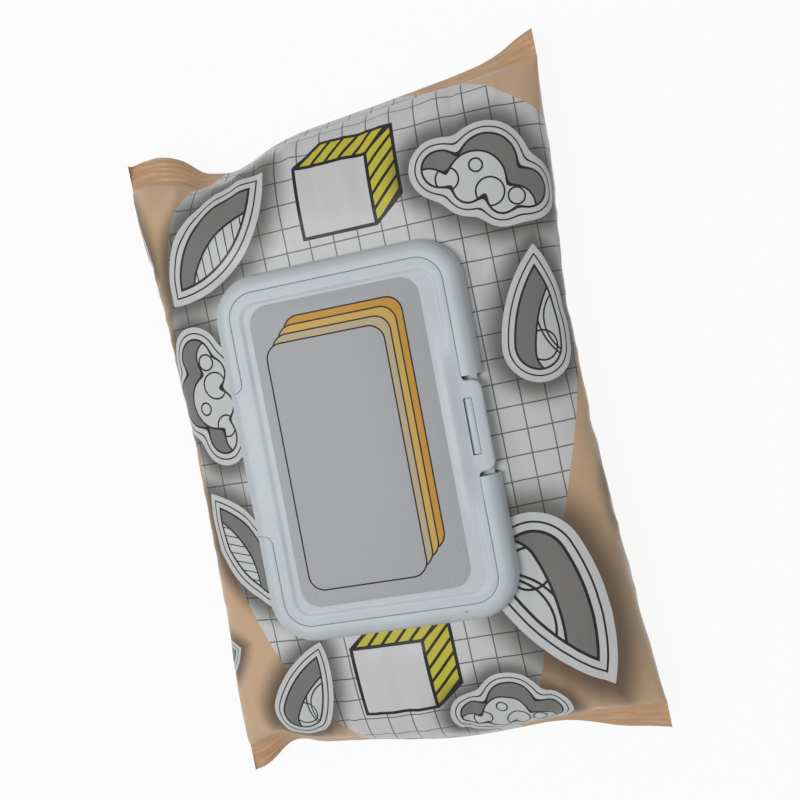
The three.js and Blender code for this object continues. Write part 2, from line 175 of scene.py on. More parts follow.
def pouch_surface(u, station, face):
    """The film's plain form: u runs across from -1 to 1, station along, face is 1 or -1."""
    end = {key: np.where(station > 0, *pair) for key, pair in ENDS.items()}
    side = np.where(station > 0, 1.0, -1.0)
    along = np.minimum(np.abs(station), SEAL_LINE)
    inward = SEAL_LINE - along
    strip = np.abs(station) - along
    half = mix(POUCH_WIDTH, SEAL_WIDTH, (along / SEAL_LINE) ** FLARE) / 2
    x = u * half + SKEW * station

    corner = np.where(u < 0, end["left"], end["right"]) * np.abs(u) ** CORNER_POWER
    dip = end["dip"] * bump(x - end["dip_at"], end["dip_width"])
    bow = end["bow"] * bump(x - end["bow_at"], end["bow_width"])
    reach = ease(along, CORNER_START, SEAL_LINE) * (end["set"] + corner + bow - dip)
    curl = math.radians(CURL_DEG) * swell(u, CURL_SQUARENESS)
    for over, at, width, reach_out, turn in END_TURNS:
        near = bump(x - at, width) * (side == over)
        reach = reach + reach_out * near * ease(along, TURN_START, SEAL_LINE)
        curl = curl * (1 - turn * near)
    y = side * (along + reach + strip * np.cos(curl))

    shoulder = np.clip(inward / SHOULDER_LENGTH, 0, 1)
    length = swell(1 - shoulder, SHOULDER_SQUARENESS)
    middle = mix(SEAL_HEIGHT, BACK_MIDDLE, shoulder)
    skin = FILM_SKIN * swell(u, SKIN_SQUARENESS)
    fill = length * swell(u, BODY_SQUARENESS)
    tent = FIN_TENT * bump(x - FIN_EDGE, TENT_WIDTH)
    tent = tent + ROOT_TENT * bump(x - FIN_EDGE + FIN_WIDTH, TENT_WIDTH)
    back = middle - skin - (middle + BACK_PRESS) * fill
    back = np.where(back > 0, back, tent)
    top = middle + skin + (FILM_TOP - middle - skin) * fill
    z = np.where(face > 0, top, back)
    # The jaws press their ribs unevenly along the seal
    pressed = CRIMP_DEPTH * (0.7 + 0.4 * np.sin(x / 4.1 + 2 * np.sin(x / 9.7)))
    ribs = np.where(strip > 0, np.cos(2 * np.pi * strip / CRIMP_PITCH) * pressed, 0)
    return np.stack([x, y, z - strip * np.sin(curl) + ribs], -1), inward


def film_sections():
    """Where the film's rows and columns lie: stations, and the places round each section."""
    steps = np.linspace(-1, 1, 2001)
    rise = swell(steps, BODY_SQUARENESS) * (FILM_TOP - BACK_MIDDLE)
    profile = np.stack([steps * POUCH_WIDTH / 2, rise], -1)
    run = np.concatenate([[0], np.cumsum(np.linalg.norm(np.diff(profile, axis=0), axis=1))])
    across = np.interp(np.linspace(0, run[-1], FILM_COLUMNS + 1), run, steps)
    body = np.linspace(0, SEAL_LINE, round(SEAL_LINE / BODY_STEP) + 1)
    crimp = np.linspace(0, CRIMP_WIDTH, round(CRIMP_WIDTH / SEAL_STEP) + 1)[1:]
    half = np.concatenate([body, SEAL_LINE + crimp])
    stations = np.concatenate([-half[:0:-1], half])
    round_trip = np.concatenate([across, across[-2::-1]])
    faces = np.where(np.arange(len(round_trip)) <= FILM_COLUMNS, 1, -1)
    return stations, round_trip, faces


def surface_normals(points):
    """Outward directions on the tube of film, whose first and last columns meet."""
    wrapped = np.concatenate([points[:, -2:-1], points, points[:, 1:2]], axis=1)
    around = wrapped[:, 2:] - wrapped[:, :-2]
    along = np.gradient(points, axis=0)
    normals = np.cross(around, along)
    return normals / np.maximum(np.linalg.norm(normals, axis=-1, keepdims=True), 1e-9)


def film_coordinates(points):
    """Distances over the film in millimetres from its printed middle: across, then along."""
    around = np.linalg.norm(np.diff(points, axis=1), axis=-1)
    across = np.concatenate([np.zeros((len(points), 1)), np.cumsum(around, axis=1)], axis=1)
    across -= across[:, FILM_COLUMNS // 2][:, None]
    steps = np.linalg.norm(np.diff(points, axis=0), axis=-1)
    along = np.concatenate([np.zeros((1, points.shape[1])), np.cumsum(steps, axis=0)], axis=0)
    along -= along[len(points) // 2][None, :]
    return np.stack([across, along], -1)


def wrinkles(points, inward, u, face, settings):
    """How far the film stands off its plain form, in millimetres along its outward direction."""
    x, y, z = np.moveaxis(points, -1, 0)
    clear = ease(outside_frame(x, y), 0.5, FRAME_HOLD)
    side = ease(np.abs(u), 0.55, 0.95)
    near_end = np.clip(1 - inward / GATHER_REACH, 0, 1) * np.clip(inward / 5 + 0.25, 0, 1)
    dents = roughness_of(points, DENTS, 3.1) * settings.dent_depth / MM
    drift = roughness_of(points, GATHER_DRIFT, 9.7) * 7
    folded = np.stack([x + drift, y, z], -1)
    gathers = 1 - 2.2 * np.abs(roughness_of(folded, GATHERS, 5.3))
    small = 1 - 2.2 * np.abs(roughness_of(folded, SMALL_GATHERS, 1.9))
    creases = 1 - 2.4 * np.abs(roughness_of(points, CREASES, 7.7))
    depth = settings.wrinkle_depth / MM
    height = dents * (0.12 + 0.88 * np.maximum(near_end, side))
    height = height + depth * near_end * (gathers + 0.45 * small)
    height = height + depth * 0.32 * side * creases
    height = height * np.where(face > 0, clear, np.clip(z / 4, 0, 1))
    # The corners of the seals hold the film taut
    height = height * (1 - 0.85 * ease(np.abs(u), 0.8, 0.98) * (1 - ease(inward, 4, 24)))
    # Near the seals both layers move together, as one sheet
    parted = np.clip(inward / PARTED, 0, 1)
    return height * np.where(face > 0, 1, 2 * parted - 1)


def shaped_grid(points, mesh=None):
    """Adds a grid that takes the given rows and columns of points, in millimetres, to a mesh."""
    rows, columns = points.shape[:2]
    if mesh is None:
        mesh = bmesh.new()
    made = bmesh.ops.create_grid(mesh, x_segments=columns - 1, y_segments=rows - 1, size=1)
    for vert in made["verts"]:
        column = round((vert.co.x + 1) / 2 * (columns - 1))
        row = round((vert.co.y + 1) / 2 * (rows - 1))
        vert.index = row * columns + column
        vert.co = Vector(points[row, column]) * MM
    return mesh


def merged(mesh):
    bmesh.ops.remove_doubles(mesh, verts=mesh.verts, dist=1e-6)
    return mesh


def closed(mesh):
    """Merges a mesh's doubles, closes its open rims and turns its faces outward."""
    rims = [edge for edge in merged(mesh).edges if edge.is_boundary]
    if rims:
        bmesh.ops.edgeloop_fill(mesh, edges=rims)
    bmesh.ops.recalc_face_normals(mesh, faces=mesh.faces)
    return mesh


def film_mesh(settings):
    stations, u, face = film_sections()
    rows, columns = np.meshgrid(stations, u, indexing="ij")
    faces = np.broadcast_to(face, rows.shape)
    plain, inward = pouch_surface(columns, rows, faces)
    height = wrinkles(plain, inward, columns, faces, settings)
    # Film stands off along its outward direction, and at the seals straight up or down
    upright = np.stack([np.zeros_like(height), np.zeros_like(height), faces], -1)
    outward = mix(upright, surface_normals(plain), np.clip(inward / 4, 0, 1)[..., None])
    points = plain + outward * height[..., None]
    x, y, z = np.moveaxis(points, -1, 0)
    held = 1 - ease(outside_frame(x, y), 0, FOOTPRINT_FALL)
    top = mix(np.minimum(z, FILM_TOP), FILM_TOP, held)
    points[..., 2] = np.where(faces > 0, top, np.maximum(z, 0))
    places = film_coordinates(plain)
    # The first and last columns are one line at the film's edge, and each end row folds on itself
    points[:, -1] = points[:, 0]
    for row in (0, -1):
        points[row] = (points[row] + points[row, ::-1]) / 2
    mesh = shaped_grid(points)
    layer = mesh.loops.layers.uv.new("film")
    ends = mesh.loops.layers.uv.new("seal")
    strip = np.clip(np.abs(stations) - SEAL_LINE, -1, None) / CRIMP_WIDTH
    for polygon in mesh.faces:
        for loop in polygon.loops:
            at = loop.vert.index
            loop[layer].uv = places[at // len(u), at % len(u)]
            loop[ends].uv = (strip[at // len(u)], u[at % len(u)])
    return merged(mesh)


def finished(mesh, name, material, body, replaced=(), sharp=None):
    """Makes an object of a bmesh, with its material, its body and what it replaces."""
    data = bpy.data.meshes.new(name)
    mesh.normal_update()
    mesh.to_mesh(data)
    mesh.free()
    for polygon in data.polygons:
        polygon.use_smooth = True
    if sharp:
        data.set_sharp_from_angle(angle=math.radians(sharp))
    data.materials.append(material)
    piece = bpy.data.objects.new(name, data)
    bpy.context.scene.collection.objects.link(piece)
    if body:
        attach(piece, body)
    if replaced:
        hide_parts(*replaced)
    return piece


# Shaping the moulded lid and its frame, with places measured from the lid's middle and the foot

FOOT = 27.1
RING_WALL = 4.95  # from the frame's outside to the wall round the lid
RING_CROWN = 3.2
RING_STRAIGHT = 1
RING_LIP = 0.22
FRAME_HEIGHT = 6
FLOOR = 1
WINDOW = (20, 35, 10)  # half width, half length and corner
RIM_WALL = 1.3
RIM_TOP = 4.2
SEAM = 0.07
LID_THICKNESS = 1.3
LID_EDGE = 0.2
TAB_EDGE = 0.55
RIB_GAP = 0.35
RIB_WALL = 1
RIB_BOTTOM, RIB_TOP = 2.7, 5.1
STRAP_HALF = 19.2
STRAP_CORNER = (-31.65, 22.0)  # middle of the fillet between the strap and the plate
STRAP_RING_RADIUS = 2.6
STRAP_END = 0.15
STRAP_LEDGE = 1.85
STRAP_BOTTOM = 2.15
LATCH_HALF = 13.0
LATCH_LEDGE = 2.4
LATCH_CUT = 1.5
TAB_HALF = 11.9
TAB_REACH = 33.5
TAB_CORNER = 2.6
TAB_FILLET = 0.9  # between the tab's sides and the lid's edge
TAB_TOP = 5.4
TAB_BOTTOM = 3.0
SLOT = (28.3, 30.6, 7.4)
CATCH = ((28.8, 30.5, 7.3, 5.15), (28.4, 29.0, 7.2, 4.6))
DISH = (-26.6, 27.6, -42.8, 42.6)  # edges of the lid's sunken middle
DISH_SLOPE = 1.4
DISH_DEPTH = 0.32
LABEL_SEAT = (23.3, 40.4, 5.2)
LABEL = (23.05, 40.55, 5.2)
LABEL_SHIFT = (-0.75, 0.35)
LABEL_THICKNESS = 0.1


def crown_height(inset):
    """Height of the ring's rounded outside at a distance in from the frame's outline."""
    share = np.clip(inset / RING_CROWN, 0, 1)
    return RING_STRAIGHT + (FRAME_HEIGHT - RING_STRAIGHT) * np.sqrt(1 - (1 - share) ** 2)


def turned(number, start, end):
    """Directions from one angle to another, in degrees, both ends included."""
    angles = np.radians(np.linspace(start, end, number))
    return np.stack([np.cos(angles), np.sin(angles)], -1)


def frame_path():
    """The frame's outline as corner centres and directions out, with what is cut away there: how
    far in the ring reaches, and how high it may stand."""
    corner = np.array([FRAME_WIDTH / 2 - FRAME_CORNER, FRAME_LENGTH / 2 - FRAME_CORNER])
    whole, high = RING_WALL, FRAME_HEIGHT + 1
    path = []
    sides = [(y, whole, high) for y in (-38, -26, -15)]
    sides += [(-LATCH_HALF, whole, high), (-LATCH_HALF, whole, LATCH_LEDGE)]
    sides += [(0, whole, LATCH_LEDGE), (LATCH_HALF, whole, LATCH_LEDGE)]
    sides += [(LATCH_HALF, whole, high)] + [(y, whole, high) for y in (15, 26)]
    path += [(corner[0], y, 1, 0, reach, top) for y, reach, top in sides]
    path += [(*corner, *n, whole, high) for n in turned(13, 0, 90)]
    path += [(x, corner[1], 0, 1, whole, high) for x in (11, 0, -11)]
    path += [(-corner[0], corner[1], *n, whole, high) for n in turned(13, 90, 180)]
    fillet = turned(9, 0, 90)
    down = [
        (STRAP_CORNER[1] - STRAP_RING_RADIUS * sin, FRAME_WIDTH / 2 + STRAP_CORNER[0]
         + STRAP_RING_RADIUS * cos, high)
        for cos, sin in fillet
    ]
    cut = STRAP_CORNER[1] - STRAP_RING_RADIUS
    left = [(30, whole, high), *down, (cut, down[-1][1], STRAP_LEDGE), (10, whole, STRAP_LEDGE)]
    left += [(0, whole, STRAP_LEDGE)] + [(-y, reach, top) for y, reach, top in reversed(left)]
    path += [(-corner[0], y, -1, 0, reach, top) for y, reach, top in left]
    path += [(-corner[0], -corner[1], *n, whole, high) for n in turned(13, 180, 270)]
    path += [(x, -corner[1], 0, -1, whole, high) for x in (-11, 0, 11)]
    path += [(corner[0], -corner[1], *n, whole, high) for n in turned(13, 270, 360)]
    return np.array(path + path[:1], float)


def rounded_row(path, grow, z, size=WINDOW):
    """A rounded rectangle grown by a distance, with one point for each point of the path."""
    half_x, half_y, radius = size
    scale = ((half_x - radius) / (FRAME_WIDTH / 2 - FRAME_CORNER),
             (half_y - radius) / (FRAME_LENGTH / 2 - FRAME_CORNER))
    flat = path[:, :2] * scale + path[:, 2:4] * (radius + grow)
    return np.column_stack([flat, np.full(len(flat), z)])


def frame_mesh():
    path = frame_path()
    reach, top = path[:, 4], path[:, 5]
    cut_back = np.where(top == LATCH_LEDGE, LATCH_CUT, 0)
    profile = [(0, 0), (0, 0.5)]
    for angle in np.radians(np.linspace(0, 90, 13)):
        rise = (FRAME_HEIGHT - RING_STRAIGHT) * np.sin(angle)
        profile.append((RING_CROWN * (1 - np.cos(angle)), RING_STRAIGHT + rise))
    for angle in np.radians(np.linspace(0, 90, 5)):
        inset = RING_WALL - RING_LIP * (1 - np.sin(angle))
        profile.append((inset, FRAME_HEIGHT - RING_LIP * (1 - np.cos(angle))))
    rows = []
    for inset, z in profile:
        near = np.clip(inset, cut_back, reach)
        height = np.where(inset > reach, np.minimum(z, crown_height(reach)), z)
        rows.append((near, np.minimum(height, top)))
    rows.append((reach, np.minimum(STRAP_LEDGE, top)))
    rows.append((np.full_like(reach, RING_WALL), np.full_like(reach, STRAP_LEDGE)))
    rows.append((np.full_like(reach, RING_WALL), np.full_like(reach, FLOOR)))
    points = []
    for near, z in rows:
        flat = path[:, :2] + path[:, 2:4] * (FRAME_CORNER - near)[:, None]
        points.append(np.column_stack([flat, z]))
    for grow, z in ((RIM_WALL, FLOOR), (RIM_WALL, RIM_TOP - 0.3), (RIM_WALL - 0.3, RIM_TOP),
                    (0.3, RIM_TOP), (0, RIM_TOP - 0.3), (0, 0)):
        points.append(rounded_row(path, grow, z))
    points.append(points[0])
    mesh = merged(shaped_grid(np.array(points) + (LID_X, LID_Y, FOOT)))
    for low, high, half, top in CATCH:
        block(mesh, (low, -half, FLOOR + 0.4), (high, half, top), 0.25)
    return closed(mesh)


def block(mesh, low, high, edge):
    """Adds a bevelled box between two corners, measured as the lid is."""
    low, high = (Vector(p) + Vector((LID_X, LID_Y, FOOT)) for p in (low, high))
    size = Matrix.Diagonal((*((high - low) * MM), 1))
    place = Matrix.Translation((low + high) / 2 * MM) @ size
    made = bmesh.ops.create_cube(mesh, size=1, matrix=place)
    edges = list({e for vert in made["verts"] for e in vert.link_edges})
    rounding = {"offset": edge * MM, "affect": "EDGES", "segments": 3, "profile": 0.5, "material": -1}
    bmesh.ops.bevel(mesh, geom=edges, **rounding)


def lid_height(x, y):
    """Height of the lid's upper side: plate, sunken middle, thumb scoop, tab and strap."""
    left, right, bottom, top = DISH
    thumb = 1 - ease(np.abs(y), 20.3, 23)
    right = right - 2.7 * thumb
    inside = np.minimum.reduce([x - left, right - x, y - bottom, top - y])
    corner_x = np.maximum(np.maximum(left + 5 - x, x - right + 5), 0)
    corner_y = np.maximum(np.maximum(bottom + 5 - y, y - top + 5), 0)
    rounded = 5 - np.hypot(corner_x, corner_y)
    inside = np.where((corner_x > 0) & (corner_y > 0), rounded, inside)
    land = FRAME_HEIGHT - 0.14 * thumb * ease(x, 23, 25)
    land = land - (land - TAB_TOP) * ease(x, 24.3, 28.8) * (1 - ease(np.abs(y), 13, 22.5))
    z = land - (land - FRAME_HEIGHT + DISH_DEPTH) * ease(inside, 0, DISH_SLOPE)
    z = np.where(x > 29.2, TAB_TOP - 0.3 * np.clip((x - 31.2) / 2.3, 0, 1) ** 2, z)
    strap = crown_height(x + FRAME_WIDTH / 2)
    return np.where(x < -28, np.minimum(z, strap), z)


def side(points, start, end):
    """Pairs each point of a polyline with a point between two places, by distance along it."""
    points = np.array(points, float)
    run = np.concatenate([[0], np.cumsum(np.linalg.norm(np.diff(points, axis=0), axis=1))])
    share = (run / run[-1])[:, None]
    return points, np.array(start) + (np.array(end) - np.array(start)) * share


def lid_path():
    """The lid's outline, and the place inward of each point on the label's seat."""
    half_x = FRAME_WIDTH / 2 - RING_WALL - SEAM
    half_y = FRAME_LENGTH / 2 - RING_WALL - SEAM
    corner = np.array([FRAME_WIDTH / 2 - FRAME_CORNER, FRAME_LENGTH / 2 - FRAME_CORNER])
    radius = half_x - corner[0]
    seat_x, seat_y, seat_r = LABEL_SEAT
    seat = np.array([seat_x - seat_r, seat_y - seat_r])
    scale = seat[1] / corner[1]

    def straight(x, low, high):
        steps = np.linspace(low, high, max(2, round(abs(high - low) / 3) + 1))
        return [(x, y) for y in steps]

    def turn(sign_x, sign_y, start):
        n = turned(13, start, start + 90)
        sign = np.array([sign_x, sign_y])
        return sign * corner + n * radius, sign * seat + n * seat_r

    tab_x = TAB_REACH - TAB_CORNER
    tab_y = TAB_HALF - TAB_CORNER
    step = TAB_HALF + TAB_FILLET
    tab = [(half_x, -step), (half_x + 0.26, -TAB_HALF - 0.26)]
    tab += [(half_x + TAB_FILLET, -TAB_HALF), (tab_x - 1, -TAB_HALF)]
    tab += [(tab_x + n[0] * TAB_CORNER, -tab_y + n[1] * TAB_CORNER) for n in turned(9, -90, 0)]
    tab += [(TAB_REACH, y) for y in (-6, -3, 0)]
    tab = tab + [(x, -y) for x, y in reversed(tab[:-1])]
    middle_x, middle_y = STRAP_CORNER
    grown = STRAP_RING_RADIUS + SEAM
    strap = [(middle_x + n[0] * grown, middle_y - n[1] * grown) for n in turned(11, 0, 90)]
    end = -FRAME_WIDTH / 2 + STRAP_END
    strap += [(x, STRAP_HALF) for x in (-32.3, -32.9, -33.4)] + [(end, STRAP_HALF - 0.4)]
    strap += [(end, y) for y in (16, 12, 8, 4, 0)]
    strap = strap + [(x, -y) for x, y in reversed(strap[:-1])]

    right, left = seat_x, -seat_x
    sections = [
        side(straight(half_x, -corner[1], -step), (right, -seat[1]), (right, -step * scale)),
        side(tab, (right, -step * scale), (right, step * scale)),
        side(straight(half_x, step, corner[1]), (right, step * scale), (right, seat[1])),
        turn(1, 1, 0),
        side([(x, half_y) for x in np.linspace(corner[0], -corner[0], 15)],
             (seat[0], seat_y), (-seat[0], seat_y)),
        turn(-1, 1, 90),
        side(straight(-half_x, corner[1], middle_y), (left, seat[1]), (left, middle_y * scale)),
        side(strap, (left, middle_y * scale), (left, -middle_y * scale)),
        side(straight(-half_x, -middle_y, -corner[1]), (left, -middle_y * scale),
             (left, -seat[1])),
        turn(-1, -1, 180),
        side([(x, -half_y) for x in np.linspace(-corner[0], corner[0], 15)],
             (-seat[0], -seat_y), (seat[0], -seat_y)),
        turn(1, -1, 270),
    ]
    outline = np.concatenate([points[:-1] for points, _ in sections])
    inner = np.concatenate([seats[:-1] for _, seats in sections])
    return outline, inner


def lid_mesh():
    outline, inner = lid_path()
    ahead = np.roll(outline, -1, axis=0) - outline
    behind = outline - np.roll(outline, 1, axis=0)
    ahead /= np.linalg.norm(ahead, axis=1, keepdims=True)
    behind /= np.linalg.norm(behind, axis=1, keepdims=True)
    along = ahead + behind
    along /= np.linalg.norm(along, axis=1, keepdims=True)
    inward = np.stack([-along[:, 1], along[:, 0]], -1)
    on_strap = outline[:, 0] < -30.5
    on_tab = outline[:, 0] > 29.3
    edge = np.where(on_strap, 0.12, np.where(on_tab, TAB_EDGE, LID_EDGE))
    depths = (0, 0.02, 0.07, 0.13, LID_EDGE, 0.35, TAB_EDGE, 0.8)

    def row(flat, drop, z=None):
        height = lid_height(flat[:, 0], flat[:, 1]) - drop if z is None else z
        return np.column_stack([flat, height])

    rows = []
    for depth in depths:
        left = np.clip(edge - depth, 0, None)
        drop = edge - np.sqrt(np.maximum(edge**2 - left**2, 0))
        rows.append(row(outline + inward * depth, drop))
    rim = outline + inward * depths[-1]
    for share in np.linspace(0, 1, 17)[1:]:
        rows.append(row(mix(rim, inner, share), 0))
    rows.reverse()
    under = lid_height(outline[:, 0], outline[:, 1]) - LID_THICKNESS
    under = np.where(on_strap, STRAP_BOTTOM, np.where(on_tab, TAB_BOTTOM, under))
    draft = np.where(on_strap | on_tab, 0.1, 0.6)
    rows.append(row(outline + inward * draft[:, None], 0, under))
    lip = outline + inward * 1.2
    rows.append(row(lip, 0, under))
    for share in (0.02, 0.12, 0.3, 0.6, 1):
        flat = mix(lip, inner, share)
        height = lid_height(flat[:, 0], flat[:, 1]) - LID_THICKNESS
        rows.append(row(flat, 0, np.maximum(height, STRAP_BOTTOM)))
    points = np.array(rows)
    points = np.concatenate([points, points[:, :1]], axis=1)
    mesh = shaped_grid(points + (LID_X, LID_Y, FOOT))

    inside, outside = RIM_WALL + RIB_GAP, RIM_WALL + RIB_GAP + RIB_WALL
    section = [(inside, RIB_BOTTOM), (outside, RIB_BOTTOM), (outside, RIB_TOP), (inside, RIB_TOP)]
    path = frame_path()
    rib = [rounded_row(path, grow, z) for grow, z in (*section, section[0])]
    shaped_grid(np.array(rib) + (LID_X, LID_Y, FOOT), mesh)
    return closed(mesh)


def label_mesh():
    """The lid's label, a thin sheet in the lid's sunken middle."""
    path = frame_path()
    seat = FRAME_HEIGHT - DISH_DEPTH
    rows = [
        rounded_row(path, grow, seat + z, LABEL)
        for grow, z in ((0, 0), (0, 0.7 * LABEL_THICKNESS), (-0.05, LABEL_THICKNESS))
    ]
    move = np.array((LID_X + LABEL_SHIFT[0], LID_Y + LABEL_SHIFT[1], FOOT))
    return closed(shaped_grid(np.array(rows) + move))


def cut_slot(piece):
    """Cuts the latch's slot through the tab."""
    low, high, half = SLOT
    cutter = bmesh.new()
    block(cutter, (low, -half, 2), (high, half, 7), 0.4)
    data = bpy.data.meshes.new("slot")
    cutter.to_mesh(data)
    cutter.free()
    tool = bpy.data.objects.new("slot", data)
    bpy.context.scene.collection.objects.link(tool)
    cut = piece.modifiers.new("slot", "BOOLEAN")
    cut.operation = "DIFFERENCE"
    cut.object = tool
    cut.solver = "EXACT"
    graph = bpy.context.evaluated_depsgraph_get()
    made = bpy.data.meshes.new_from_object(piece.evaluated_get(graph))
    piece.modifiers.clear()
    old, piece.data = piece.data, made
    made.name = old.name
    bpy.data.objects.remove(tool)
    bpy.data.meshes.remove(old)
    made.set_sharp_from_angle(angle=math.radians(38))


# Materials

MATH = "ShaderNodeMath"
VECTOR = "ShaderNodeVectorMath"
MIX = "ShaderNodeMix"
RANGE = "ShaderNodeMapRange"
SPLIT = "ShaderNodeSeparateXYZ"
PLACE = "ShaderNodeTexCoord"
OBJECT = 3  # the output of that node for the piece's own coordinates
NOISE = "ShaderNodeTexNoise"


def add(tree, kind, inputs=(), output=0, **settings):
    """Adds a node with its settings, values and links, and returns one of its outputs."""
    made = tree.nodes.new(kind)
    for name, value in settings.items():
        setattr(made, name, value)
    pairs = inputs.items() if isinstance(inputs, dict) else enumerate(inputs)
    for key, value in pairs:
        if isinstance(value, bpy.types.NodeSocket):
            tree.links.new(value, made.inputs[key])
        elif value is not None:
            made.inputs[key].default_value = value
    return made.outputs[output] if made.outputs else made


def chain(tree, value, *steps):
    """Passes a value through one math node after another. A step is an operation with its operands.
    A vector goes through vector math, and a number through plain math."""
    for operation, *operands in steps:
        kind = VECTOR if value.type == "VECTOR" else MATH
        output = 1 if operation in ("DISTANCE", "DOT_PRODUCT", "LENGTH") else 0
        value = add(tree, kind, [value, *operands], output, operation=operation)
    return value


def new_material(name, **constants):
    """A material whose shader holds the given constants; returns it, its tree and its shader."""
    material = bpy.data.materials.new(name)
    material.use_nodes = True
    tree = material.node_tree
    shader = tree.nodes["Principled BSDF"]
    for key, value in constants.items():
        shader.inputs[key.replace("_", " ")].default_value = value
    return material, tree, shader


def dress(tree, shader, color, height, strength, depth):
    """Gives a shader its colour, and a grain that is as deep as given, in metres."""
    grain = {"Height": height, "Strength": strength, "Distance": depth}
    tree.links.new(color, shader.inputs["Base Color"])
    tree.links.new(add(tree, "ShaderNodeBump", grain), shader.inputs["Normal"])


def opaque(color):
    return (*color[:3], 1)


def paint(tree, below, color, mask, blend="MIX"):
    """Covers the colour below with another where the mask is 1."""
    color = color if isinstance(color, bpy.types.NodeSocket) else opaque(color)
    below = below if isinstance(below, bpy.types.NodeSocket) else opaque(below)
    inputs = {0: mask, 6: below, 7: color}
    return add(tree, MIX, inputs, 2, data_type="RGBA", blend_type=blend)


def stroke(tree, distance, at, width):
    """1 where the distance is within half a line's width of the given value."""
    return chain(tree, distance, ("COMPARE", at, width / 2))


def new_group(name, inputs, outputs):
    group = bpy.data.node_groups.new(name, "ShaderNodeTree")
    for label, kind in inputs:
        group.interface.new_socket(label, in_out="INPUT", socket_type=kind)
    for label, kind in outputs:
        group.interface.new_socket(label, in_out="OUTPUT", socket_type=kind)
    start = group.nodes.new("NodeGroupInput")
    finish = group.nodes.new("NodeGroupOutput")
    return group, start.outputs, finish.inputs


FLOAT, POINT, COLOR = "NodeSocketFloat", "NodeSocketVector", "NodeSocketColor"

# Outlines of the printed stickers in millimetres. Foam is circles (x, y, radius) that flow
# together, and a drop is a circle whose sides run to a point
FOAM = ((-10, -1, 7.2), (0, 3, 9.5), (10, -0.5, 7.4), (-3, -4, 6.2), (5, -4.5, 6.2))
FOAM_FLOW = 4
LEAF_HALF_LENGTH, LEAF_HALF_WIDTH = 17, 7.6
DROP_RADIUS, DROP_TAIL, DROP_SHIFT = 8.4, 23, -6
STICKER_RIM = 3  # from a sticker's edge to its inner line
# Circles drawn on a sticker: middle, radius, and the kind of sticker that has it
CIRCLES = (
    ((-6, -1), 3.4, 1),
    ((0, -10), 8.5, 1),
    ((2, -12), 12.2, 1),
    ((-8, -3), 2.6, 2),
    ((2, -3.5), 3.2, 2),
    ((8, -3), 1.9, 2),
    ((-2.5, 1.5), 1.5, 2),
)

# Stickers on the film: across, along, turn in degrees, scale, and kind (0 leaf, 1 drop, 2 foam)
STICKERS = (
    (-34, 58, 42, 1.35, 0),
    (42, 59, -24, 1.15, 2),
    (48, 20, 82, 1.15, 1),
    (38, -52, -68, 1.65, 1),
    (-46, 16, 98, 1.15, 2),
    (-43, -28, -62, 1.15, 0),
    (-35, -70, 62, 1.0, 1),
    (20, -82, -8, 0.95, 2),
    (77, 48, 75, 0.9, 0),
    (69, -26, 78, 1.0, 0),
    (-66, 66, -50, 0.9, 1),
    (-66, -60, 20, 0.8, 0),
)
# Striped blocks: across and along of the middle of the bare front
BLOCKS = ((2, 62), (-9, -68))
BLOCK_HALF_WIDTH, BLOCK_HALF_HEIGHT = 10, 9.7
BLOCK_SIDE = (8.0, 6.4)
BLOCK_SPAN = 34  # radius round a block's middle that holds the whole of it
BLOCK_LINE = 0.95
STRIPE_PITCH, STRIPE_WIDTH = 3.9, 1.1


def lens(tree, place, half_length, half_width):
    """Signed distance to two arcs that meet in a point at each end."""
    radius = (half_length**2 + half_width**2) / (2 * half_width)
    centres = ((0, radius - half_width, 0), (0, half_width - radius, 0))
    above, below = (chain(tree, place, ("DISTANCE", centre)) for centre in centres)
    return chain(tree, above, ("MAXIMUM", below), ("SUBTRACT", radius))


def outline_group():
    """Signed distance to a sticker's outline; the place's third value is its kind."""
    group, start, finish = new_group("sticker outline", [("Place", POINT)], [("Distance", FLOAT)])
    kind = add(group, SPLIT, [start[0]], 2)
    flat = chain(group, start[0], ("MULTIPLY", (1, 1, 0)))
    picked = lens(group, flat, LEAF_HALF_LENGTH, LEAF_HALF_WIDTH)
    shifted = chain(group, flat, ("SUBTRACT", (DROP_SHIFT, 0, 0)))
    tail = lens(group, shifted, DROP_TAIL, DROP_RADIUS)
    head = chain(group, shifted, ("LENGTH",), ("SUBTRACT", DROP_RADIUS))
    ahead = chain(group, add(group, SPLIT, [shifted]), ("GREATER_THAN", 0))
    drop = add(group, MIX, {0: ahead, 2: head, 3: tail})
    foam = 999
    for x, y, size in FOAM:
        edge = chain(group, flat, ("DISTANCE", (x, y, 0)), ("SUBTRACT", size))
        foam = chain(group, edge, ("SMOOTH_MIN", foam, FOAM_FLOW))
    for outline, number in ((drop, 1), (foam, 2)):
        chosen = chain(group, kind, ("COMPARE", number, 0.5))
        picked = add(group, MIX, {0: chosen, 2: picked, 3: outline})
    group.links.new(picked, finish[0])
    return group


